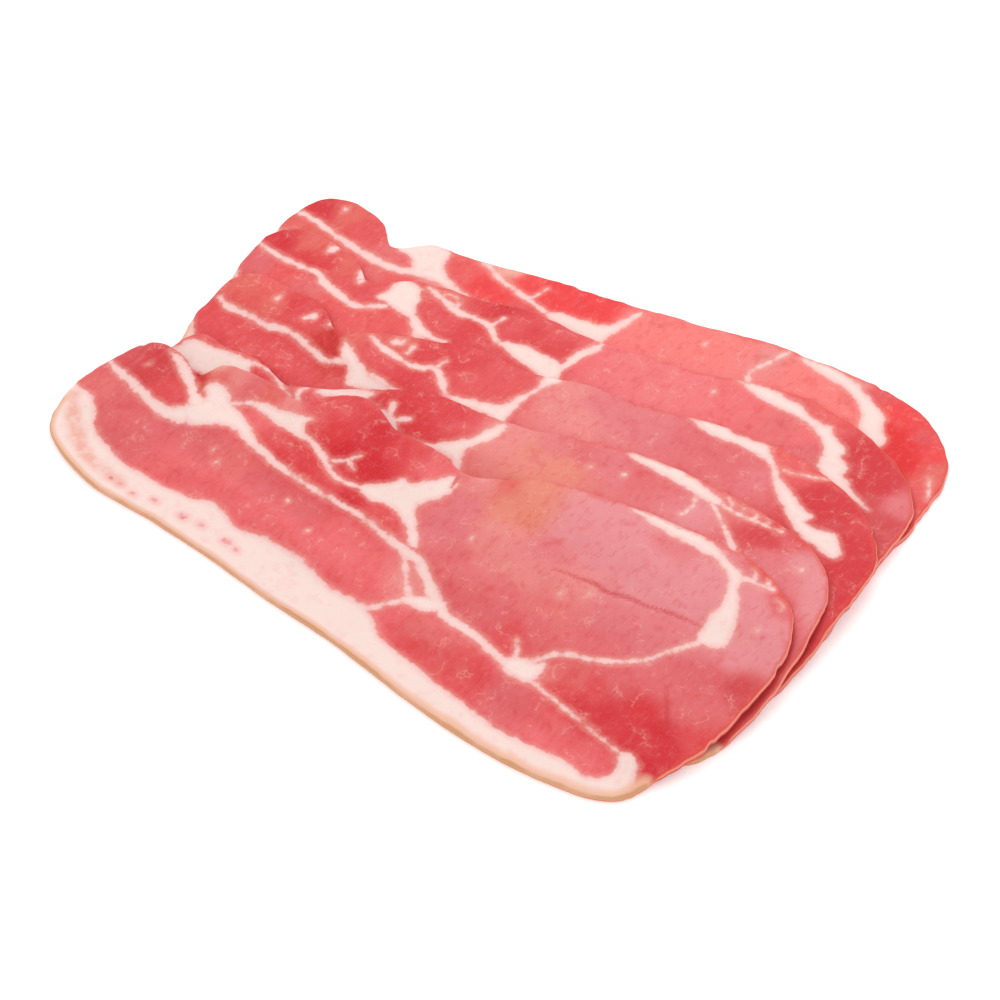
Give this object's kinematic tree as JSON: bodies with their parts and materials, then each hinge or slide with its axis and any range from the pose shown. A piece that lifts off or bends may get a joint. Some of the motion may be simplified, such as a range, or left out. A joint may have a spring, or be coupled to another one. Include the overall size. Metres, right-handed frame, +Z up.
{
  "type": "stack of raw bacon rashers",
  "caption": "Raw middle bacon rashers laid overlapping in a flat shingled stack, each with its streaky end, round eye muscle, white fat seams and thin rind edge.",
  "frame": {"origin": "centre of the stack's bounding box, on the surface it lies on", "axes": "+X along the rashers from the streaky end to the eye end, +Y across them from the top rasher's rind edge to the bottom rasher's far edge, +Z up"},
  "size_m": [0.2502, 0.193, 0.0122],
  "materials": {
    "raw_bacon": "moist raw meat with white fat, soft gloss"
  },
  "bodies": {
    "root": {"rasher_1": "raw_bacon", "rasher_2": "raw_bacon", "rasher_3": "raw_bacon", "rasher_4": "raw_bacon", "rasher_5": "raw_bacon"}
  },
  "joints": []
}
